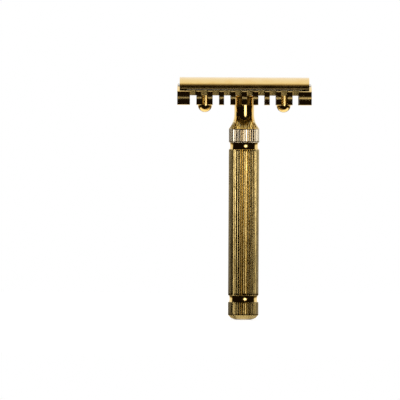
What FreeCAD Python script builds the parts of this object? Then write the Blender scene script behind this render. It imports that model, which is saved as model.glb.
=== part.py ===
"""Double-edge safety razor: an arched cap screwed through a blade and an open comb plate into a fluted handle.

The frame: the origin is the centre of the handle's flat base, +Z runs up the handle, +X runs along the
head and the blade's two edges face -Y and +Y. All sizes are in millimetres.
"""

import FreeCAD
import Part

import os
import re

import Sketcher

SIZES = {
    # Levels up the handle.
    "knob_rim": 0.4,
    "knob_shoulder": 1.5,
    "knob_top": 5.7,
    "knob_spigot_top": 14.0,
    "grip_base": 7.8,
    "neck_spigot_base": 47.0,
    "grip_top": 55.2,
    "collar_base": 57.4,
    "collar_top": 61.8,
    "flare_top": 66.7,
    "neck_top": 72.55,
    # Radii of the handle.
    "base_radius": 2.6,
    "knob_rim_radius": 3.9,
    "fluted_radius": 4.95,
    "groove_radius": 4.5,
    "groove_corner": 0.25,
    "neck_radius": 3.2,
    "flare_radius": 7.735,
    "bore_radius": 3.5,
    "edge_break": 0.15,
    # The straight flutes that run round the handle.
    "flute_count": 38,
    "flute_root_radius": 4.66,
    "flute_width": 0.60,
    # The M5 x 0.8 right-hand thread that closes the head.
    "thread_pitch": 0.8,
    "thread_pitch_radius": 2.24,
    "thread_slack": 0.04,
    "flank_slope": 0.57735,
    "stud_radius": 2.45,
    "stud_root_radius": 1.95,
    "stud_tip": 64.8,
    "stud_thread_length": 7.8,
    "tapping_radius": 2.07,
    "tapped_root_radius": 2.55,
    "tapped_length": 10.0,
    "tapping_base": 61.8,
    "drill_point": 60.6,
    "mouth_radius": 2.6,
    "mouth_depth": 1.0,
    # The comb plate.
    "plate_length": 43.4,
    "plate_base": 72.6,
    "plate_crown": 76.3,
    "arch_radius": 30.7,
    "arch_half_width": 11.9,
    "tooth_tip": 69.5,
    "tooth_inner": 11.1,
    "tooth_outer": 12.05,
    "tooth_face_radius": 4.8,
    "tooth_shoulder": 73.75,
    "tooth_round": 0.3,
    "tooth_pitch": 3.684,
    "tooth_gap": 2.1,
    "gaps_per_side": 10,
    "spine_outer": 10.7,
    "slot_outer": 10.0,
    "slot_inner": 8.1,
    "slot_half_length": 17.9,
    "slot_corner": 0.9,
    "plate_centre_hole": 2.85,
    "plate_pin_hole": 2.45,
    # The blade, flexed over the plate's arch.
    "blade_length": 43.1,
    "blade_thickness": 0.1,
    "blade_half_width": 10.77,
    "blade_edge_half_length": 18.65,
    "blade_tab_half_width": 6.5,
    "blade_slot_half_length": 17.2,
    "blade_slot_half_width": 1.2,
    "blade_hole": 3.0,
    "seat_gap": 0.05,
    # The cap, with its stud and guide pins.
    "cap_length": 41.9,
    "cap_crown": 78.55,
    "cap_radius": 17.6,
    "cap_half_width": 10.6,
    "socket_top": 77.3,
    "pin_radius": 2.3,
    "pin_tip": 67.2,
    "pin_spacing": 12.75,
}

# Drawn past a face, so that a cut leaves no skin behind.
OVERSHOOT = "1.0"
# Longer than any piece, for a cut that goes right through.
THROUGH = 500
FULL_TURN = 360
# A coordinate smaller than this lies on the sketch's axis.
ON_AXIS = 1e-9
# The numbers by which a sketch knows its own axes.
X_AXIS, Y_AXIS = -1, -2


def bound(formula):
    """Turn a formula of size names into one that reads the spreadsheet."""
    return re.sub(r"[a-z]\w*", lambda word: f"Sizes.{word[0]}" if word[0] in SIZES else word[0], formula)


def make_sizes(doc):
    sheet = doc.addObject("Spreadsheet::Sheet", "Sizes")
    for row, (name, value) in enumerate(SIZES.items(), start=1):
        sheet.set(f"A{row}", name)
        sheet.set(f"B{row}", str(value))
        sheet.setAlias(f"B{row}", name)
    doc.recompute()


def make_body(doc, label):
    body = doc.addObject("PartDesign::Body", label)
    body.Label = label
    return body


def origin_feature(body, role):
    return next(item for item in body.Origin.OriginFeatures if item.Role == role)


def make_sketch(body, name, plane, height=None):
    """An empty sketch on one of the body's own planes, raised along its normal by an optional formula."""
    sketch = body.newObject("Sketcher::SketchObject", name)
    sketch.AttachmentSupport = (origin_feature(body, plane), [""])
    sketch.MapMode = "FlatFace"
    if height:
        sketch.setExpression("AttachmentOffset.Base.z", bound(height))
    return sketch


def value_of(sketch, formula):
    return float(sketch.evalExpression(bound(formula)))


def fix_coordinate(sketch, kind, geometry, point, formula):
    """Tie one coordinate of a point to a formula, measured from the sketch's origin."""
    value = value_of(sketch, formula)
    if abs(value) < ON_AXIS:
        axis = Y_AXIS if kind == "DistanceX" else X_AXIS
        sketch.addConstraint(Sketcher.Constraint("PointOnObject", geometry, point, axis))
        return
    ends = (-1, 1, geometry, point) if value > 0 else (geometry, point, -1, 1)
    index = sketch.addConstraint(Sketcher.Constraint(kind, *ends, abs(value)))
    sketch.setExpression(f"Constraints[{index}]", bound(formula if value > 0 else f"-({formula})"))


def arc_between(start, end, radius, turn):
    """The shorter arc from start to end: turn is 1 when it runs anticlockwise and -1 when clockwise."""
    chord = end - start
    across = FreeCAD.Vector(-chord.y, chord.x, 0).normalize() * turn
    centre = (start + end) / 2 + across * max(radius ** 2 - (chord.Length / 2) ** 2, 0) ** 0.5
    return Part.Arc(start, centre - across * radius, end)


def draw_outline(sketch, corners):
    """Draw a closed outline. A corner is (x, y), or (x, y, radius, turn) where an arc leaves it."""
    points = [FreeCAD.Vector(value_of(sketch, c[0]), value_of(sketch, c[1]), 0) for c in corners]
    ends = []
    for corner, start, end in zip(corners, points, points[1:] + points[:1]):
        if len(corner) == 2:
            index = sketch.addGeometry(Part.LineSegment(start, end))
            ends.append((index, 1, 2))
            continue
        turn = corner[3]
        index = sketch.addGeometry(arc_between(start, end, value_of(sketch, corner[2]), turn))
        ends.append((index, 1, 2) if turn > 0 else (index, 2, 1))
    for before, (index, first, _) in zip(ends[-1:] + ends[:-1], ends):
        sketch.addConstraint(Sketcher.Constraint("Coincident", before[0], before[2], index, first))
    for corner, (index, first, _) in zip(corners, ends):
        fix_coordinate(sketch, "DistanceX", index, first, corner[0])
        fix_coordinate(sketch, "DistanceY", index, first, corner[1])
        if len(corner) > 2:
            radius = Sketcher.Constraint("Radius", index, value_of(sketch, corner[2]))
            sketch.setExpression(f"Constraints[{sketch.addConstraint(radius)}]", bound(corner[2]))


def draw_circle(sketch, x, y, radius):
    centre = FreeCAD.Vector(value_of(sketch, x), value_of(sketch, y), 0)
    size = value_of(sketch, radius)
    index = sketch.addGeometry(Part.Circle(centre, FreeCAD.Vector(0, 0, 1), size))
    fix_coordinate(sketch, "DistanceX", index, 3, x)
    fix_coordinate(sketch, "DistanceY", index, 3, y)
    constraint = sketch.addConstraint(Sketcher.Constraint("Radius", index, size))
    sketch.setExpression(f"Constraints[{constraint}]", bound(radius))


def box_corners(low_x, high_x, low_y, high_y):
    return [(low_x, low_y), (high_x, low_y), (high_x, high_y), (low_x, high_y)]


def rounded_box(low_x, high_x, low_y, high_y, radius):
    return [
        (f"{low_x} + {radius}", low_y),
        (f"{high_x} - {radius}", low_y, radius, 1),
        (high_x, f"{low_y} + {radius}"),
        (high_x, f"{high_y} - {radius}", radius, 1),
        (f"{high_x} - {radius}", high_y),
        (f"{low_x} + {radius}", high_y, radius, 1),
        (low_x, f"{high_y} - {radius}"),
        (low_x, f"{low_y} + {radius}", radius, 1),
    ]


def revolve(body, name, corners):
    """Turn a half profile, given as (radius, height), round the body's Z axis."""
    profile = make_sketch(body, f"{name}Profile", "XZ_Plane")
    draw_outline(profile, corners)
    turned = body.newObject("PartDesign::Revolution", name)
    turned.Profile = profile
    turned.ReferenceAxis = (origin_feature(body, "Z_Axis"), [""])
    turned.Angle = FULL_TURN


def extrude_along_x(body, name, corners, length):
    """Pad a YZ section by a length, half to each side of the handle's axis."""
    section = make_sketch(body, f"{name}Section", "YZ_Plane")
    draw_outline(section, corners)
    pad = body.newObject("PartDesign::Pad", name)
    pad.Profile = section
    pad.SideType = "Symmetric"
    pad.setExpression("Length", bound(length))


def cut(body, name, sketch, **settings):
    """Pocket a sketch. Settings are its length formula, or nothing to cut right through both ways."""
    pocket = body.newObject("PartDesign::Pocket", name)
    pocket.Profile = sketch
    if "length" in settings:
        pocket.setExpression("Length", bound(settings["length"]))
        pocket.SideType = settings.get("side", "One side")
        pocket.Reversed = settings.get("reverse", False)
    else:
        pocket.SideType = "Symmetric"
        pocket.Length = THROUGH
    return pocket


def cut_flutes(body, low, high):
    """Cut the ring of straight V-shaped flutes between two levels."""
    groove = make_sketch(body, "FluteShape", "XY_Plane", height=low)
    widening = "(fluted_radius + edge_break - flute_root_radius) / (fluted_radius - flute_root_radius)"
    half_width = f"flute_width / 2 * {widening}"
    mouth = "fluted_radius + edge_break"
    draw_outline(groove, [("flute_root_radius", "0"), (mouth, f"-({half_width})"), (mouth, half_width)])
    flute = cut(body, "Flute", groove, length=f"{high} - ({low})", reverse=True)
    ring = body.newObject("PartDesign::PolarPattern", "Flutes")
    ring.Originals = [flute]
    ring.Axis = (origin_feature(body, "Z_Axis"), [""])
    ring.Angle = FULL_TURN
    ring.setExpression("Occurrences", bound("flute_count"))
    body.Tip = ring


def groove_width(radius, wider):
    """The width of a thread groove at a radius. It widens outwards on the stud and inwards in the hole."""
    return f"(thread_pitch / 2 + 2 * thread_slack + {wider} * 2 * flank_slope * ({radius} - thread_pitch_radius))"


def cut_thread(body, start, shallow, deep, wider, length):
    """Cut one right-hand helical groove, whose middle starts at a level on the XZ plane."""
    section = make_sketch(body, "ThreadSection", "XZ_Plane")
    corners = []
    for radius, side in ((shallow, "-"), (deep, "-"), (deep, "+"), (shallow, "+")):
        corners.append((radius, f"{start} {side} {groove_width(radius, wider)} / 2"))
    draw_outline(section, corners)
    helix = body.newObject("PartDesign::SubtractiveHelix", "Thread")
    helix.Profile = section
    helix.ReferenceAxis = (origin_feature(body, "Z_Axis"), [""])
    helix.Mode = "pitch-height-angle"
    helix.setExpression("Pitch", bound("thread_pitch"))
    helix.setExpression("Height", bound(length))
    helix.LeftHanded = False
    helix.Reversed = False


def arch_level(radius, half_width):
    """The height at a distance from the middle of a face that is concentric with the plate's arch."""
    return f"plate_crown - arch_radius + sqrt(({radius}) ^ 2 - ({half_width}) ^ 2)"


def make_bottom_knob(doc):
    """The fluted foot of the handle, with the polished groove above it and a spigot up the grip."""
    body = make_body(doc, "bottom_knob")
    revolve(body, "Knob", [
        ("0", "0"),
        ("base_radius", "0"),
        ("knob_rim_radius", "knob_rim"),
        ("fluted_radius", "knob_shoulder"),
        ("fluted_radius", "knob_top - edge_break"),
        ("fluted_radius - edge_break", "knob_top"),
        ("groove_radius + groove_corner", "knob_top", "groove_corner", -1),
        ("groove_radius", "knob_top + groove_corner"),
        ("groove_radius", "grip_base"),
        ("bore_radius", "grip_base"),
        ("bore_radius", "knob_spigot_top"),
        ("0", "knob_spigot_top"),
    ])
    cut_flutes(body, f"-{OVERSHOOT}", "knob_top")
    return body


def make_grip_tube(doc):
    """The long fluted tube that the hand holds."""
    body = make_body(doc, "grip_tube")
    revolve(body, "Tube", [
        ("bore_radius", "grip_base"),
        ("fluted_radius - edge_break", "grip_base"),
        ("fluted_radius", "grip_base + edge_break"),
        ("fluted_radius", "grip_top - edge_break"),
        ("fluted_radius - edge_break", "grip_top"),
        ("bore_radius", "grip_top"),
    ])
    cut_flutes(body, f"grip_base - {OVERSHOOT}", f"grip_top + {OVERSHOOT}")
    return body


def make_handle_neck(doc):
    """The turned top of the handle: spigot, polished groove, fluted collar, flare and tapped neck."""
    body = make_body(doc, "handle_neck")
    revolve(body, "Neck", [
        ("0", "neck_spigot_base"),
        ("bore_radius", "neck_spigot_base"),
        ("bore_radius", "grip_top"),
        ("groove_radius", "grip_top"),
        ("groove_radius", "collar_base - groove_corner", "groove_corner", -1),
        ("groove_radius + groove_corner", "collar_base"),
        ("fluted_radius - edge_break", "collar_base"),
        ("fluted_radius", "collar_base + edge_break"),
        ("fluted_radius", "collar_top", "flare_radius", -1),
        ("neck_radius", "flare_top"),
        ("neck_radius", "neck_top - edge_break"),
        ("neck_radius - edge_break", "neck_top"),
        ("mouth_radius", "neck_top"),
        ("mouth_radius", "neck_top - mouth_depth"),
        ("tapping_radius", "neck_top - mouth_depth - mouth_radius + tapping_radius"),
        ("tapping_radius", "tapping_base"),
        ("0", "drill_point"),
    ])
    cut_flutes(body, "collar_base", "flare_top")
    # The stud's grooves and the hole's grooves lie half a pitch apart, so that they mesh.
    cut_thread(body, "stud_tip - 2 * thread_pitch", "(tapping_radius - thread_slack)", "tapped_root_radius",
               -1, "tapped_length")
    return body


def make_comb_plate(doc):
    """The open comb: an arched plate with two lather slots and a row of hooked teeth along each side."""
    body = make_body(doc, "comb_plate")
    half_section = [
        ("tooth_inner", "plate_base"),
        ("tooth_inner", "tooth_tip + tooth_round", "tooth_round", 1),
        ("tooth_inner + tooth_round", "tooth_tip"),
        ("tooth_outer - tooth_round", "tooth_tip", "tooth_round", 1),
        ("tooth_outer", "tooth_tip + tooth_round", "tooth_face_radius", 1),
        ("tooth_outer", "tooth_shoulder"),
        ("arch_half_width", arch_level("arch_radius", "arch_half_width"), "arch_radius", 1),
    ]
    section = half_section + [(f"-({x})", y) for x, y, *_ in half_section[::-1]]
    # On the mirrored side an edge keeps its arc, which now leaves from its other end.
    count = len(half_section)
    for place in range(count - 1):
        arc = half_section[place][2:]
        other = 2 * count - 2 - place
        section[other] = (*section[other][:2], *arc)
    extrude_along_x(body, "Plate", section, "plate_length")
    cut_comb_gaps(body)
    cut_plate_openings(body)
    return body


def cut_comb_gaps(body):
    """Cut the gaps between the teeth of both rows, leaving the spine that joins them."""
    gap = make_sketch(body, "GapShape", "YZ_Plane", height="-(gaps_per_side - 1) / 2 * tooth_pitch")
    for side in ("", "-"):
        reach = f"tooth_outer + {OVERSHOOT}"
        corners = [
            (f"{side}(spine_outer)", "plate_crown"),
            (f"{side}({reach})", "plate_crown"),
            (f"{side}({reach})", f"tooth_tip - {OVERSHOOT}"),
            (f"{side}(slot_outer)", f"tooth_tip - {OVERSHOOT}"),
            (f"{side}(slot_outer)", "plate_base"),
            (f"{side}(spine_outer)", "plate_base"),
        ]
        draw_outline(gap, corners)
    first_gap = cut(body, "Gap", gap, length="tooth_gap", side="Symmetric")
    gaps = body.newObject("PartDesign::LinearPattern", "Gaps")
    gaps.Originals = [first_gap]
    gaps.Direction = (origin_feature(body, "X_Axis"), [""])
    gaps.setExpression("Length", bound("(gaps_per_side - 1) * tooth_pitch"))
    gaps.setExpression("Occurrences", bound("gaps_per_side"))
    body.Tip = gaps


def cut_plate_openings(body):
    """Cut the two lather slots, and the holes for the stud and the guide pins."""
    openings = make_sketch(body, "OpeningShapes", "XY_Plane")
    length = ("-slot_half_length", "slot_half_length")
    draw_outline(openings, rounded_box(*length, "slot_inner", "slot_outer", "slot_corner"))
    draw_outline(openings, rounded_box(*length, "-slot_outer", "-slot_inner", "slot_corner"))
    draw_circle(openings, "0", "0", "plate_centre_hole")
    for side in ("", "-"):
        draw_circle(openings, f"{side}pin_spacing", "0", "plate_pin_hole")
    cut(body, "Openings", openings)


def make_razor_blade(doc):
    """The double-edge blade, flexed to the arch, with its shouldered corners and its central opening."""
    body = make_body(doc, "razor_blade")
    inner = "arch_radius + seat_gap"
    outer = f"{inner} + blade_thickness"
    low = arch_level(inner, "blade_half_width")
    high = arch_level(outer, "blade_half_width")
    extrude_along_x(body, "Blade", [
        ("-blade_half_width", low, inner, -1),
        ("blade_half_width", low),
        ("blade_half_width", high, outer, 1),
        ("-blade_half_width", high),
    ], "blade_length")
    openings = make_sketch(body, "OpeningShapes", "XY_Plane")
    for x_side in ("", "-"):
        for y_side in ("", "-"):
            draw_outline(openings, box_corners(
                f"{x_side}blade_edge_half_length", f"{x_side}(blade_length / 2 + {OVERSHOOT})",
                f"{y_side}blade_tab_half_width", f"{y_side}(blade_half_width + {OVERSHOOT})"))
    cut(body, "Corners", openings)
    slot = make_sketch(body, "SlotShape", "XY_Plane")
    draw_outline(slot, box_corners("-blade_slot_half_length", "blade_slot_half_length",
                                   "-blade_slot_half_width", "blade_slot_half_width"))
    cut(body, "Slot", slot)
    holes = make_sketch(body, "HoleShapes", "XY_Plane")
    for place in ("-pin_spacing", "0", "pin_spacing"):
        draw_circle(holes, place, "0", "blade_hole")
    cut(body, "Holes", holes)
    return body


def make_top_cap(doc):
    """The arched cap that clamps the blade, with blind sockets for the stud and the guide pins."""
    body = make_body(doc, "top_cap")
    inner = "arch_radius + 2 * seat_gap + blade_thickness"
    low = arch_level(inner, "cap_half_width")
    high = "cap_crown - cap_radius + sqrt(cap_radius ^ 2 - cap_half_width ^ 2)"
    extrude_along_x(body, "Cap", [
        ("-cap_half_width", low, inner, -1),
        ("cap_half_width", low),
        ("cap_half_width", high, "cap_radius", 1),
        ("-cap_half_width", high),
    ], "cap_length")
    sockets = make_sketch(body, "SocketShapes", "XY_Plane", height="socket_top")
    draw_circle(sockets, "0", "0", "stud_radius")
    for side in ("", "-"):
        draw_circle(sockets, f"{side}pin_spacing", "0", "pin_radius")
    cut(body, "Sockets", sockets, length="socket_top - plate_crown")
    return body


def make_cap_stud(doc):
    """The threaded stud that is fixed in the cap and screws into the neck."""
    body = make_body(doc, "cap_stud")
    revolve(body, "Stud", [
        ("0", "stud_tip"),
        ("stud_root_radius", "stud_tip"),
        ("stud_radius", "stud_tip + stud_radius - stud_root_radius"),
        ("stud_radius", "socket_top"),
        ("0", "socket_top"),
    ])
    cut_thread(body, "stud_tip - thread_pitch / 2", "(stud_radius + thread_slack)", "stud_root_radius",
               1, "stud_thread_length")
    return body


def make_guide_pin(doc, label, side):
    """One of the two round-ended pins that are fixed in the cap and line up the blade and the comb."""
    body = make_body(doc, label)
    revolve(body, "Pin", [
        ("0", "pin_tip", "pin_radius", 1),
        ("pin_radius", "pin_tip + pin_radius"),
        ("pin_radius", "socket_top"),
        ("0", "socket_top"),
    ])
    body.setExpression("Placement.Base.x", bound(f"{side} * pin_spacing"))
    return body


def check_document(doc, bodies):
    for item in doc.Objects:
        if {"Invalid", "Error"} & set(item.State):
            raise RuntimeError(f"{item.Label} failed: {item.State}")
    for body in bodies:
        shape = body.Shape
        if shape.isNull() or not shape.isValid() or len(shape.Solids) != 1:
            raise RuntimeError(f"{body.Label} is not one valid solid")


def main():
    doc = FreeCAD.newDocument("SafetyRazor")
    make_sizes(doc)
    bodies = [
        make_bottom_knob(doc),
        make_grip_tube(doc),
        make_handle_neck(doc),
        make_comb_plate(doc),
        make_razor_blade(doc),
        make_top_cap(doc),
        make_cap_stud(doc),
        make_guide_pin(doc, "guide_pin_left", -1),
        make_guide_pin(doc, "guide_pin_right", 1),
    ]
    doc.recompute()
    check_document(doc, bodies)
    os.makedirs("parts", exist_ok=True)
    for body in bodies:
        body.Shape.exportStep(f"parts/{body.Label}.step")
        print(f"{body.Label}: {body.Shape.Volume:.2f} mm3")


main()
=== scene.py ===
"""The safety razor's looks: finer metal pieces around the CAD frame, their materials and light.

Units are metres, in the CAD frame: +Z runs up the handle, +X along the head, and -Y faces the
camera.
"""

import math
import random

import bmesh
import bpy
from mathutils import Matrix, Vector


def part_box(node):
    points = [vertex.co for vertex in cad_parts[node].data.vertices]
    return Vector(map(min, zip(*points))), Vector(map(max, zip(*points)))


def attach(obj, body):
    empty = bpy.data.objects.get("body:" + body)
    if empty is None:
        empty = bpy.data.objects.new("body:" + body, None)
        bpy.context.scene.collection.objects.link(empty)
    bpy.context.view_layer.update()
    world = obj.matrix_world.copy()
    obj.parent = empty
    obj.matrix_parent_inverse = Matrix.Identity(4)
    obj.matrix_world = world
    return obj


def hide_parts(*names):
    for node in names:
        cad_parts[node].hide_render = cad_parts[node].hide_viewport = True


MM = 0.001
ON_AXIS = 1e-7

# The handle's turned profile.
KNOB_TOP = 5.7 * MM
KNOB_RIM = 0.4 * MM
KNOB_SHOULDER = 1.5 * MM
BASE_RADIUS = 2.6 * MM
KNOB_RIM_RADIUS = 3.9 * MM
COLLAR_BASE = 57.4 * MM
COLLAR_TOP = 61.8 * MM
SCALLOP_TOP = 64.4 * MM
FLARE_TOP = 66.7 * MM
FLARE_RADIUS = 7.735 * MM
FLARE_STEPS = 40
NECK_RADIUS = 3.2 * MM
GROOVE_RADIUS = 4.5 * MM
GROOVE_SAG = 0.16 * MM
GROOVE_STEPS = 16
BORE_RADIUS = 3.5 * MM
EDGE_BREAK = 0.15 * MM
EDGE_STEPS = 3
GRIP_STEPS = 60
BASE_STEPS = 6
CHAMFER_STEPS = 16
KNOB_STEPS = 12
COLLAR_STEPS = 12
NECK_STEPS = 8

# The flutes cut along the grip, the knob and the collar, and the scallops they leave on the flare.
FLUTES = 38
SAMPLES_PER_FLUTE = 12
FLUTE_DEPTH = 0.29 * MM
COLLAR_FLUTE_DEPTH = 0.40 * MM
SCALLOP_DEPTH = 0.50 * MM
FLUTE_WIDTH = 0.60 * MM
FLUTE_RUN_OUT = 0.9
DEEPEST_SHARE = 1.12
FURTHEST_SHIFT = 0.12
GRIP_SPREAD = 0.62
NECK_SPREAD = 0.85
FLUTE_SEED = 7

# The tapped hole in the neck.
MOUTH_RADIUS = 2.6 * MM
MOUTH_DEPTH = 1.0 * MM
TAPPING_RADIUS = 2.07 * MM
TAPPING_BASE = 61.8 * MM
DRILL_POINT = 60.6 * MM
THREAD_PITCH = 0.8 * MM
THREAD_DEPTH = 0.48 * MM
THREAD_START = 63.2 * MM
THREAD_ROOT = 1.25
THREAD_FLANK = 1.9
CONE_STEPS = 12
THREAD_STEPS = 60

# The head. The comb's faces within SPINE_REACH of its middle carry painted shade, or painted light
# beneath.
SPINE_REACH = 10.9 * MM
SPINE_TOP = 74.3 * MM
BLADE_GRIND = 0.9 * MM
GRIND_FADE = 0.9
COMB_ROUNDING = 0.22 * MM
COMB_SEGMENTS = 3
CAP_ROUNDING = 0.19 * MM
CAP_SEGMENTS = 4
MERGE_DISTANCE = 0.002 * MM
FLAT_ANGLE = 0.5
ROUNDED_ANGLE = 35
HEAD_SMOOTH_ANGLE = 40
TURNED_SMOOTH_ANGLE = 50

# How far a face's normal leans, as a cosine, for it to count as one kind of face.
FLAT_BENEATH = -0.9
SLOPING_BENEATH = -0.7
FACING_INWARD = 0.5
UPRIGHT = 0.9

# Metals.
GOLD = (0.87, 0.63, 0.24)
DULL_GOLD = (0.86, 0.58, 0.185)
SATIN_GOLD = (0.95, 0.72, 0.30)
AGED_GOLD = (0.56, 0.39, 0.12)
# Painted highlight: the collar's pale golds stand in for the bright light it reflects, streaked at
# random.
COLLAR_HIGHLIGHT_GOLD = (0.97, 0.86, 0.68)
COLLAR_SHEEN_GOLD = (0.96, 0.76, 0.44)
# Painted light: paler golds that brighten the flare's scallops and the comb's underside, which the
# flare reflects.
PAINTED_LIGHT_GOLD = (0.97, 0.83, 0.46)
PAINTED_WARM_GOLD = (0.93, 0.72, 0.33)
# Painted shade: dark golds for the comb's spine between the teeth and the teeth's inner faces.
SPINE_SHADE_GOLD = (0.32, 0.23, 0.08)
SPINE_DEEP_SHADE_GOLD = (0.16, 0.11, 0.035)
# Painted shade: dark golds for the cap's upright front and back faces.
CAP_FACE_SHADE_GOLD = (0.20, 0.14, 0.05)
CAP_FACE_DEEP_SHADE_GOLD = (0.12, 0.08, 0.03)
# Painted shade: the grip and knob are darkened towards the handle's foot, between these two
# heights.
FOOT_SHADE_COLOR = (0.20, 0.14, 0.04)
FOOT_SHADE_FROM = 12 * MM
FOOT_SHADE_TO = 52 * MM
GRIP_FOOT_SHADE = 0.62
BRASS = (0.78, 0.60, 0.30)
STAINED_BRASS = (0.50, 0.34, 0.14)
STEEL = (0.62, 0.61, 0.58)
GROUND_STEEL = (0.34, 0.31, 0.25)
BUMP_DISTANCE = 0.02 * MM

# The patterns in the metals: scales of noise for each metre, and the levels between which it fades.
PATCH_SCALE = 260
PATCH_FADE = (0.4, 0.7)
PATCH_ROUGHNESS = (0.35, 0.75, 0.07, 0.13)
MARK_STRETCH = (900, 900, 9000)
MARK_ROUGHNESS = 0.03
MARK_BUMP = 0.12
SPECK_SCALE = 2600
STREAK_SHARE = 0.6
STREAK_FADE = (0.3, 0.7)
WEAR_FADE = (0.68, 1.0)
SATIN_BUMP = 0.3
RING_STRETCH = (300, 300, 30000)
RING_ROUGHNESS = (0.3, 0.7, 0.2, 0.38)
RING_BUMP = 0.15
STAIN_SCALE = 700
STAIN_FADE = (0.4, 0.7)
GRAIN_STRETCH = (600, 30000, 600)
GROUND_ROUGHNESS = (0, 1, 0.22, 0.34)
GRAIN_ROUGHNESS = 0.1
GRAIN_BUMP = 0.1

# The camera.
SENSOR_WIDTH = 36.0
LENS = 693.9
CLIP_START = 0.01
CLIP_END = 30.0
CAMERA_PLACE = (-14.35 * MM, -2500 * MM, 70 * MM)
CAMERA_PITCH = 0.01253
CAMERA_ROLL = -0.0050

# The room. A direction is an azimuth and an elevation in degrees. The edges of a light are heights
# or cosines between which it fades in.
SWEEP_DIRECTION = (177, 0)
SWEEP_EDGES = (0.19, 0.35)
SWEEP_TOP_EDGES = (0.92, 0.79)
SWEEP_FOOT_EDGES = (-0.20, -0.03)
SWEEP_FOOT_LEVEL = 0.16
TABLE_HEIGHTS = (-0.40, -0.62)
TABLE_DIRECTION = (180, 0)
TABLE_EDGES = (-0.34, -0.06)
TABLE_GLOW = 0.28
TABLE_GLOW_COLOR = (1, 0.94, 0.82)
ZENITH_EDGES = (0.975, 0.992)
ZENITH_LEVEL = 0.7
LAMP_DIRECTION = (14, 1)
LAMP_EDGES = (0.948, 0.9976)
LAMP_FALLOFF = 3.0
LAMP_STRENGTH = 3.4
LAMP_COLOR = (1, 0.97, 0.92)
WHITE = (1, 1, 1)
ROOM_TONES = ((0.0, (0.008, 0.005, 0.002)), (0.3, (0.24, 0.19, 0.10)),
              (0.7, (0.85, 0.78, 0.62)), (1.0, WHITE))

# The floor.
FLOOR_REACH = 0.34
FLOOR_COLOR = (0.9, 0.9, 0.9)
FLOOR_GLOW = 0.8


class Graph:
    """A short way to write a node tree."""

    def __init__(self, tree):
        self.tree = tree
        tree.nodes.clear()

    def add(self, kind, inputs=None, **settings):
        node = self.tree.nodes.new(kind)
        for name, value in settings.items():
            setattr(node, name, value)
        for name, value in (inputs or {}).items():
            self.feed(node.inputs[name], value)
        return node

    def feed(self, place, value):
        if isinstance(value, bpy.types.NodeSocket):
            self.tree.links.new(value, place)
        else:
            place.default_value = value

    def ramp(self, value, low, high, to_low=0.0, to_high=1.0):
        """Fade smoothly from to_low to to_high as the value goes from low to high."""
        node = self.add("ShaderNodeMapRange", {"Value": value, "From Min": low, "From Max": high,
                                               "To Min": to_low, "To Max": to_high})
        node.interpolation_type = "SMOOTHSTEP"
        return node.outputs["Result"]

    def math(self, operation, first, second):
        node = self.add("ShaderNodeMath", {0: first, 1: second}, operation=operation)
        return node.outputs[0]

    def noise(self, vector, scale, detail=2.0):
        node = self.add("ShaderNodeTexNoise", {"Vector": vector, "Scale": scale, "Detail": detail})
        return node.outputs["Fac"]

    def stretched(self, vector, scale):
        return self.add("ShaderNodeMapping", {"Vector": vector, "Scale": scale}).outputs["Vector"]

    def part(self, vector, axis):
        return self.add("ShaderNodeSeparateXYZ", {0: vector}).outputs[axis]

    def mix(self, factor, first, second):
        node = self.add("ShaderNodeMix", data_type="RGBA")
        self.feed(node.inputs[0], factor)
        for place, value in ((6, first), (7, second)):
            color = value if isinstance(value, bpy.types.NodeSocket) else (*value, 1)
            self.feed(node.inputs[place], color)
        return node.outputs[2]

    def background(self, color, strength):
        node = self.add("ShaderNodeBackground", {"Color": color, "Strength": strength})
        return node.outputs[0]

    def sum(self, first, second):
        return self.add("ShaderNodeAddShader", {0: first, 1: second}).outputs[0]

    def metal(self, color, roughness):
        return self.add("ShaderNodeBsdfPrincipled",
                        {"Base Color": color, "Metallic": 1.0, "Roughness": roughness})


def direction(azimuth, elevation):
    """A unit vector. Azimuth 0 points at the camera's side, and grows to its right."""
    azimuth, elevation = math.radians(azimuth), math.radians(elevation)
    return Vector((math.sin(azimuth) * math.cos(elevation),
                   -math.cos(azimuth) * math.cos(elevation), math.sin(elevation)))


def make_camera():
    """The camera: far in front of the razor, a little to its left and level with the head."""
    data = bpy.data.cameras.new("camera")
    data.sensor_width = SENSOR_WIDTH
    data.lens = LENS
    data.clip_start = CLIP_START
    data.clip_end = CLIP_END
    camera = bpy.data.objects.new("camera", data)
    bpy.context.scene.collection.objects.link(camera)
    camera.location = CAMERA_PLACE
    camera.rotation_mode = "XYZ"
    camera.rotation_euler = (math.pi / 2 - CAMERA_PITCH, CAMERA_ROLL, 0)
    bpy.context.scene.camera = camera


def set_stops(color_ramp, stops):
    """Give a colour ramp these stops, the first and last of them at its ends."""
    elements = color_ramp.elements
    for position, color in stops[1:-1]:
        elements.new(position).color = (*color, 1)
    for place, (position, color) in ((0, stops[0]), (-1, stops[-1])):
        elements[place].position = position
        elements[place].color = (*color, 1)


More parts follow.
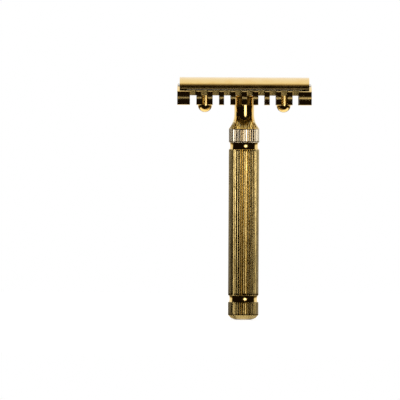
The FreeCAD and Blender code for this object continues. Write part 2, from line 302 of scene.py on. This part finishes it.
def make_world():
    """A dark room with a white sweep behind and beside the razor, a table and one soft lamp.

    The camera itself sees plain white.
    """
    world = bpy.data.worlds.new("studio")
    bpy.context.scene.world = world
    world.use_nodes = True
    graph = Graph(world.node_tree)
    ray = graph.add("ShaderNodeTexCoord").outputs["Generated"]
    height = graph.part(ray, "Z")

    def facing(place):
        node = graph.add("ShaderNodeVectorMath", {0: ray, 1: direction(*place)},
                         operation="DOT_PRODUCT")
        return node.outputs["Value"]

    sweep = graph.ramp(facing(SWEEP_DIRECTION), *SWEEP_EDGES)
    sweep = graph.math("MULTIPLY", sweep, graph.ramp(height, *SWEEP_TOP_EDGES))
    foot = graph.ramp(height, *SWEEP_FOOT_EDGES, SWEEP_FOOT_LEVEL, 1.0)
    sweep = graph.math("MULTIPLY", sweep, foot)
    table = graph.math("MULTIPLY", graph.ramp(height, *TABLE_HEIGHTS),
                       graph.ramp(facing(TABLE_DIRECTION), *TABLE_EDGES))
    level = graph.math("MAXIMUM", sweep, table)
    zenith = graph.ramp(height, *ZENITH_EDGES, 0.0, ZENITH_LEVEL)
    level = graph.math("ADD", level, zenith)
    tone = graph.add("ShaderNodeValToRGB", {"Fac": level})
    set_stops(tone.color_ramp, ROOM_TONES)
    room = graph.background(tone.outputs["Color"], 1.0)

    lamp = graph.math("POWER", graph.ramp(facing(LAMP_DIRECTION), *LAMP_EDGES), LAMP_FALLOFF)
    lamp = graph.background((*LAMP_COLOR, 1), graph.math("MULTIPLY", lamp, LAMP_STRENGTH))
    glow = graph.background((*TABLE_GLOW_COLOR, 1), graph.math("MULTIPLY", table, TABLE_GLOW))
    lit = graph.sum(graph.sum(room, lamp), glow)
    seen = graph.background((*WHITE, 1), 1.0)
    camera_ray = graph.add("ShaderNodeLightPath").outputs["Is Camera Ray"]
    both = graph.add("ShaderNodeMixShader", {0: camera_ray, 1: lit, 2: seen})
    graph.add("ShaderNodeOutputWorld", {"Surface": both.outputs[0]})


def new_material(name):
    """A material, its empty graph and the place on the piece."""
    material = bpy.data.materials.new(name)
    material.use_nodes = True
    graph = Graph(material.node_tree)
    place = graph.add("ShaderNodeTexCoord").outputs["Object"]
    return material, graph, place


def finish_material(graph, shader, height, bump):
    """Raise the surface a little by a height pattern, and connect the shader."""
    normal = graph.add("ShaderNodeBump",
                       {"Height": height, "Strength": bump, "Distance": BUMP_DISTANCE})
    graph.feed(shader.inputs["Normal"], normal.outputs[0])
    graph.add("ShaderNodeOutputMaterial", {"Surface": shader.outputs[0]})


def make_polished_gold():
    """Bright plating: a clear mirror with fine rubbing marks and a few dull patches."""
    material, graph, place = new_material("polished_gold")
    patches = graph.noise(place, PATCH_SCALE, detail=4)
    marks = graph.noise(graph.stretched(place, MARK_STRETCH), 1, detail=3)
    roughness = graph.math("ADD", graph.ramp(patches, *PATCH_ROUGHNESS),
                           graph.math("MULTIPLY", marks, MARK_ROUGHNESS))
    color = graph.mix(graph.ramp(patches, *PATCH_FADE), GOLD, DULL_GOLD)
    finish_material(graph, graph.metal(color, roughness), marks, MARK_BUMP)
    return material


def make_satin_gold(name, colors, roughness_range, streak_stretch, foot_shade=0.0):
    """Duller plating, streaked and speckled, with painted shade darkening it towards the handle's
    foot if asked.
    """
    material, graph, place = new_material(name)
    streaks = graph.noise(graph.stretched(place, streak_stretch), 1, detail=4)
    specks = graph.noise(place, SPECK_SCALE, detail=3)
    wear_and_sheen = graph.math("ADD", specks, graph.math("MULTIPLY", streaks, STREAK_SHARE))
    color = graph.mix(graph.ramp(wear_and_sheen, *WEAR_FADE), *colors)
    # Painted shade: a darker colour is mixed in lower down the handle.
    if foot_shade > 0:
        height = graph.part(place, "Z")
        unshaded_share = graph.ramp(height, FOOT_SHADE_FROM, FOOT_SHADE_TO, 1 - foot_shade, 1.0)
        color = graph.mix(unshaded_share, FOOT_SHADE_COLOR, color)
    roughness = graph.ramp(streaks, *STREAK_FADE, *roughness_range)
    shader = graph.metal(color, roughness)
    finish_material(graph, shader, graph.math("ADD", streaks, specks), SATIN_BUMP)
    return material


def make_brass():
    """Turned brass with stains."""
    material, graph, place = new_material("plain_brass")
    rings = graph.noise(graph.stretched(place, RING_STRETCH), 1)
    stains = graph.noise(place, STAIN_SCALE, detail=4)
    color = graph.mix(graph.ramp(stains, *STAIN_FADE), BRASS, STAINED_BRASS)
    shader = graph.metal(color, graph.ramp(rings, *RING_ROUGHNESS))
    finish_material(graph, shader, rings, RING_BUMP)
    return material


def make_blade_steel(half_width):
    """Rolled steel with a matt ground band along each cutting edge."""
    material, graph, place = new_material("blade_steel")
    reach = graph.math("ABSOLUTE", graph.part(place, "Y"), 0.0)
    ground = graph.ramp(reach, half_width - BLADE_GRIND, half_width - BLADE_GRIND * GRIND_FADE)
    grain = graph.noise(graph.stretched(place, GRAIN_STRETCH), 1, detail=3)
    color = graph.mix(ground, STEEL, GROUND_STEEL)
    roughness = graph.math("ADD", graph.ramp(ground, *GROUND_ROUGHNESS),
                           graph.math("MULTIPLY", grain, GRAIN_ROUGHNESS))
    finish_material(graph, graph.metal(color, roughness), grain, GRAIN_BUMP)
    return material


def make_floor():
    """A pale floor that only the camera sees, so that it doesn't light the metal."""
    mesh = bpy.data.meshes.new("floor")
    corners = [(x * FLOOR_REACH, y * FLOOR_REACH, 0)
               for x, y in ((-1, -1), (1, -1), (1, 1), (-1, 1))]
    mesh.from_pydata(corners, [], [(0, 1, 2, 3)])
    floor = bpy.data.objects.new("floor", mesh)
    bpy.context.scene.collection.objects.link(floor)
    floor.visible_glossy = False
    floor.visible_diffuse = False
    material, graph, _ = new_material("pale_floor")
    paper = graph.add("ShaderNodeBsdfDiffuse", {"Color": (*FLOOR_COLOR, 1)})
    glow = graph.add("ShaderNodeEmission", {"Color": (*WHITE, 1), "Strength": FLOOR_GLOW})
    both = graph.sum(paper.outputs[0], glow.outputs[0])
    graph.add("ShaderNodeOutputMaterial", {"Surface": both})
    mesh.materials.append(material)


def line(start, end, steps):
    """Evenly spaced points from start to end, without the last."""
    return [(start[0] + (end[0] - start[0]) * step / steps,
             start[1] + (end[1] - start[1]) * step / steps) for step in range(steps)]


def hollow(radius, low, high):
    """A shallow round groove between two levels, at its deepest in the middle."""
    points = []
    for step in range(GROOVE_STEPS + 1):
        share = step / GROOVE_STEPS
        sag = GROOVE_SAG * 4 * share * (1 - share)
        points.append((radius - sag, low + (high - low) * step / GROOVE_STEPS))
    return points


def flare():
    """The concave curve from the collar up to the neck."""
    points = []
    for step in range(FLARE_STEPS + 1):
        height = COLLAR_TOP + (FLARE_TOP - COLLAR_TOP) * step / FLARE_STEPS
        inset = FLARE_RADIUS - math.sqrt(FLARE_RADIUS ** 2 - (FLARE_TOP - height) ** 2)
        points.append((NECK_RADIUS + inset, height))
    return points


def plain(points):
    return [(radius, height, "plain") for radius, height in points]


def fluted(points):
    return [(radius, height, "fluted") for radius, height in points]


def threaded(points):
    return [(radius, height, "threaded") for radius, height in points]


def uneven_flutes(spread):
    """Each flute's share of the full depth, and its shift sideways as a share of the pitch."""
    draw = random.Random(FLUTE_SEED)
    return [(draw.uniform(DEEPEST_SHARE - spread, DEEPEST_SHARE),
             draw.uniform(-FURTHEST_SHIFT, FURTHEST_SHIFT)) for _ in range(FLUTES)]


def fluted_level(angle, radius, depth, unevenness):
    """The surface's distance from the axis, where V flutes of a given depth are cut in a radius."""
    pitch = 2 * math.pi / FLUTES
    share, shift = unevenness[int(angle / pitch) % FLUTES]
    from_root = abs((angle / pitch) % 1 - 0.5 - shift) * pitch * radius
    slope = max(depth, FLUTE_DEPTH) / (FLUTE_WIDTH / 2)
    return min(radius, radius - depth * share + slope * from_root)


def threaded_level(angle, radius, height):
    """The wall of a hole with a right-hand thread, whose groove passes +X at THREAD_START."""
    turns = (height - THREAD_START) / THREAD_PITCH - (angle / (2 * math.pi) - 0.25)
    from_groove = abs((turns + 0.5) % 1 - 0.5) * 2
    return radius + THREAD_DEPTH * min(1, max(0, THREAD_ROOT - THREAD_FLANK * from_groove))


def make_turned_piece(name, profile, depth_at, spread=GRIP_SPREAD):
    """Turn a half profile of (radius, height, kind) points, with its flutes and its thread."""
    count = FLUTES * SAMPLES_PER_FLUTE
    vertices, rings, faces = [], [], []
    unevenness = uneven_flutes(spread)

    def level_at(angle, radius, height, kind, depth):
        if depth > 0:
            return fluted_level(angle, radius, depth, unevenness)
        if kind == "threaded":
            return max(radius, threaded_level(angle, TAPPING_RADIUS, height))
        return radius

    for radius, height, kind in profile:
        first = len(vertices)
        if radius < ON_AXIS:
            rings.append([first])
            vertices.append((0, 0, height))
            continue
        depth = depth_at(radius, height) if kind == "fluted" else 0.0
        for place in range(count):
            angle = 2 * math.pi * place / count
            level = level_at(angle, radius, height, kind, depth)
            vertices.append((level * math.sin(angle), -level * math.cos(angle), height))
        rings.append(list(range(first, first + count)))
    pairs = list(zip(rings, rings[1:]))
    if len(rings[0]) > 1 and len(rings[-1]) > 1:
        pairs.append((rings[-1], rings[0]))
    for low, high in pairs:
        for place in range(count):
            after = (place + 1) % count
            corners = [low[place % len(low)], low[after % len(low)],
                       high[after % len(high)], high[place % len(high)]]
            faces.append(list(dict.fromkeys(corners)))
    mesh = bpy.data.meshes.new(name)
    mesh.from_pydata(vertices, [], faces)
    mesh.validate()
    return finish_piece(name, mesh, TURNED_SMOOTH_ANGLE)


def finish_piece(name, mesh, smooth_angle):
    """Shade a mesh smooth except at its sharp edges, and put it in the scene."""
    for polygon in mesh.polygons:
        polygon.use_smooth = True
    mesh.set_sharp_from_angle(angle=math.radians(smooth_angle))
    piece = bpy.data.objects.new(name, mesh)
    bpy.context.scene.collection.objects.link(piece)
    return piece


def dress(piece, body, materials, node):
    """Give a piece its materials, and put it on a body in place of a CAD node."""
    for material in materials:
        piece.data.materials.append(material)
    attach(piece, body)
    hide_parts(node)
    return piece


def make_grip(satin):
    """The long grip tube, with broken edges at both ends."""
    low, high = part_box("grip_tube")
    radius = high[0]
    bottom, top = low[2], high[2]
    profile = plain([(BORE_RADIUS, bottom)])
    profile += fluted(line((radius - EDGE_BREAK, bottom), (radius, bottom + EDGE_BREAK),
                           EDGE_STEPS))
    profile += fluted(line((radius, bottom + EDGE_BREAK), (radius, top - EDGE_BREAK),
                           GRIP_STEPS))
    profile += fluted(line((radius, top - EDGE_BREAK), (radius - EDGE_BREAK, top), EDGE_STEPS))
    profile += fluted([(radius - EDGE_BREAK, top)])
    profile += plain([(BORE_RADIUS, top)])

    def depth_at(level, height):
        return level - (radius - FLUTE_DEPTH)

    piece = make_turned_piece("grip", profile, depth_at)
    return dress(piece, "handle", [satin], "grip_tube")


def make_knob(satin, polished):
    """The foot: flat base, rim, flutes, polished groove and the spigot up into the grip."""
    low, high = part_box("grip_tube")
    radius, shoulder = high[0], low[2]
    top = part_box("bottom_knob")[1][2]
    profile = plain([(0, 0)] + line((BASE_RADIUS, 0), (KNOB_RIM_RADIUS, KNOB_RIM), BASE_STEPS))
    profile += fluted(line((KNOB_RIM_RADIUS, KNOB_RIM), (radius, KNOB_SHOULDER), CHAMFER_STEPS))
    profile += fluted(line((radius, KNOB_SHOULDER), (radius, KNOB_TOP - EDGE_BREAK), KNOB_STEPS))
    profile += fluted(line((radius, KNOB_TOP - EDGE_BREAK), (radius - EDGE_BREAK, KNOB_TOP),
                           EDGE_STEPS))
    profile += fluted([(radius - EDGE_BREAK, KNOB_TOP)])
    profile += plain(hollow(GROOVE_RADIUS + GROOVE_SAG, KNOB_TOP, shoulder))
    profile += plain([(BORE_RADIUS, shoulder), (BORE_RADIUS, top), (0, top)])

    def depth_at(level, height):
        run_out = FLUTE_RUN_OUT * max(0, KNOB_SHOULDER - height)
        return level - (radius - FLUTE_DEPTH - run_out)

    piece = make_turned_piece("knob", profile, depth_at)
    dress(piece, "handle", [satin, polished], "bottom_knob")
    for polygon in piece.data.polygons:
        in_groove = KNOB_TOP < polygon.center.z < shoulder
        polygon.material_index = 1 if in_groove else 0
    return piece


def make_neck(polished, wear_and_sheen, lit_scallops):
    """The handle's turned top: spigot, groove, fluted collar, flare and tapped neck."""
    bottom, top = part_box("handle_neck")[0][2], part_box("handle_neck")[1][2]
    radius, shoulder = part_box("grip_tube")[1][0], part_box("grip_tube")[1][2]
    mouth_base = top - MOUTH_DEPTH
    cone_base = mouth_base - (MOUTH_RADIUS - TAPPING_RADIUS)
    profile = plain([(0, bottom), (BORE_RADIUS, bottom), (BORE_RADIUS, shoulder)])
    profile += plain(hollow(GROOVE_RADIUS + GROOVE_SAG, shoulder, COLLAR_BASE))
    profile += fluted(line((radius - EDGE_BREAK, COLLAR_BASE), (radius, COLLAR_BASE + EDGE_BREAK),
                           EDGE_STEPS))
    profile += fluted(line((radius, COLLAR_BASE + EDGE_BREAK), (radius, COLLAR_TOP),
                           COLLAR_STEPS))
    profile += fluted(flare())
    profile += plain(line((NECK_RADIUS, FLARE_TOP + EDGE_BREAK), (NECK_RADIUS, top - EDGE_BREAK),
                          NECK_STEPS))
    profile += plain(line((NECK_RADIUS, top - EDGE_BREAK), (NECK_RADIUS - EDGE_BREAK, top),
                          EDGE_STEPS))
    profile += plain([(NECK_RADIUS - EDGE_BREAK, top), (MOUTH_RADIUS, top)])
    profile += threaded(line((MOUTH_RADIUS, mouth_base), (TAPPING_RADIUS, cone_base),
                             CONE_STEPS))
    profile += threaded(line((TAPPING_RADIUS, cone_base),
                             (TAPPING_RADIUS, THREAD_START - THREAD_PITCH), THREAD_STEPS))
    profile += plain([(TAPPING_RADIUS, TAPPING_BASE), (0, DRILL_POINT)])

    def depth_at(level, height):
        if height <= COLLAR_TOP:
            return min(level - (radius - COLLAR_FLUTE_DEPTH), COLLAR_FLUTE_DEPTH)
        left = 1 - max(0, height - COLLAR_TOP) / (SCALLOP_TOP - COLLAR_TOP)
        return SCALLOP_DEPTH * left

    piece = make_turned_piece("neck", profile, depth_at, NECK_SPREAD)
    # The collar carries painted highlight, and the scallops painted light.
    dress(piece, "handle", [polished, wear_and_sheen, lit_scallops], "handle_neck")
    for polygon in piece.data.polygons:
        height, reach = polygon.center.z, polygon.center.xy.length
        on_collar = COLLAR_BASE - EDGE_BREAK < height < COLLAR_TOP and reach > GROOVE_RADIUS
        on_scallops = COLLAR_TOP < height < SCALLOP_TOP and reach > NECK_RADIUS
        polygon.material_index = 1 if on_collar else 2 if on_scallops else 0
    return piece


def softened_copy(node, width, segments):
    """A node's own mesh with its sharp edges rounded over."""
    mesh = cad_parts[node].data.copy()
    work = bmesh.new()
    work.from_mesh(mesh)
    bmesh.ops.remove_doubles(work, verts=work.verts, dist=MERGE_DISTANCE)
    bmesh.ops.dissolve_limit(work, angle_limit=math.radians(FLAT_ANGLE), verts=work.verts,
                             edges=work.edges)
    limit = math.radians(ROUNDED_ANGLE)
    sharp = [edge for edge in work.edges
             if len(edge.link_faces) == 2 and edge.calc_face_angle() > limit]
    bmesh.ops.bevel(work, geom=sharp, offset=width, segments=segments, profile=0.5,
                    affect="EDGES", clamp_overlap=True)
    unshaded_share = bpy.data.meshes.new(node)
    work.to_mesh(unshaded_share)
    work.free()
    unshaded_share.validate()
    return unshaded_share


def make_softened_piece(name, node, width, segments):
    """A rounded copy of a node, whose large flat faces stay flat beside their rounded edges."""
    mesh = softened_copy(node, width, segments)
    piece = finish_piece(name, mesh, HEAD_SMOOTH_ANGLE)
    modifier = piece.modifiers.new("flat_faces", "WEIGHTED_NORMAL")
    modifier.mode = "FACE_AREA"
    modifier.weight = 100
    modifier.keep_sharp = True
    return piece


def make_comb(polished, shaded_recess, lit_underside):
    """The comb plate, rough with painted shade on its spine and the teeth's inner faces, and with
    painted light beneath.
    """
    piece = make_softened_piece("comb", "comb_plate", COMB_ROUNDING, COMB_SEGMENTS)
    dress(piece, "comb", [polished, shaded_recess, lit_underside], "comb_plate")
    for polygon in piece.data.polygons:
        middle, normal = polygon.center, polygon.normal
        in_spine = abs(middle.y) < SPINE_REACH
        recessed = in_spine and middle.z < SPINE_TOP and normal.z > SLOPING_BENEATH
        inward = normal.y * middle.y < 0 and abs(normal.y) > FACING_INWARD
        beneath = in_spine and normal.z < FLAT_BENEATH
        # Painted shade on the spine and the teeth's inner faces; painted light beneath.
        polygon.material_index = 1 if recessed or inward else 2 if beneath else 0
    return piece


def make_cap(polished, shaded_faces):
    """The arched cap, with painted shade on its upright front and back faces."""
    piece = make_softened_piece("cap", "top_cap", CAP_ROUNDING, CAP_SEGMENTS)
    dress(piece, "cap", [polished, shaded_faces], "top_cap")
    for polygon in piece.data.polygons:
        polygon.material_index = 1 if abs(polygon.normal.y) > UPRIGHT else 0
    return piece


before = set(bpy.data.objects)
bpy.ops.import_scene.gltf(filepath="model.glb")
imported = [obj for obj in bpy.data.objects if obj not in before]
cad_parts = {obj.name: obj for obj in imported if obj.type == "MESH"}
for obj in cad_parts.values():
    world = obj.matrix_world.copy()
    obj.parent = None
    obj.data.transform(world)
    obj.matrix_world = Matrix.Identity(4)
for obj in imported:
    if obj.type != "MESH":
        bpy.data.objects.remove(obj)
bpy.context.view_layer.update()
bpy.context.scene.view_settings.view_transform = "Standard"
make_camera()
make_world()
make_floor()
polished_gold = make_polished_gold()
# The grip and knob carry painted shade towards the foot.
grip_gold = make_satin_gold(
    "satin_gold", (SATIN_GOLD, AGED_GOLD), roughness_range=(0.15, 0.29),
    streak_stretch=(4000, 4000, 260), foot_shade=GRIP_FOOT_SHADE)
# Painted shade for the comb's spine and the inner faces of its teeth.
shaded_recess_gold = make_satin_gold(
    "painted_shade_recess_gold", (SPINE_SHADE_GOLD, SPINE_DEEP_SHADE_GOLD), roughness_range=(0.30, 0.42),
    streak_stretch=(5000, 5000, 400))
# Painted highlight on the fluted collar, with random streaks.
lit_collar_gold = make_satin_gold(
    "painted_highlight_collar_gold", (COLLAR_HIGHLIGHT_GOLD, COLLAR_SHEEN_GOLD), roughness_range=(0.13, 0.25),
    streak_stretch=(3500, 3500, 120))
# Painted light on the flare's scallops and the comb's underside.
lit_scallop_gold = make_satin_gold(
    "lit_scallop_gold", (PAINTED_LIGHT_GOLD, PAINTED_WARM_GOLD), roughness_range=(0.06, 0.12),
    streak_stretch=(3000, 3000, 300))
# Painted shade for the cap's upright front and back faces.
shaded_cap_face_gold = make_satin_gold(
    "painted_shade_cap_face_gold", (CAP_FACE_SHADE_GOLD, CAP_FACE_DEEP_SHADE_GOLD), roughness_range=(0.16, 0.26),
    streak_stretch=(200, 3000, 3000))
brass = make_brass()
steel = make_blade_steel(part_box("razor_blade")[1][1])
finishes = {"razor_blade": steel, "cap_stud": brass, "grip_tube": grip_gold,
            "bottom_knob": grip_gold}
for name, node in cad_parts.items():
    node.data.materials.clear()
    node.data.materials.append(finishes.get(name, polished_gold))
make_grip(grip_gold)
make_knob(grip_gold, polished_gold)
make_neck(polished_gold, lit_collar_gold, lit_scallop_gold)
make_comb(polished_gold, shaded_recess_gold, lit_scallop_gold)
make_cap(polished_gold, shaded_cap_face_gold)
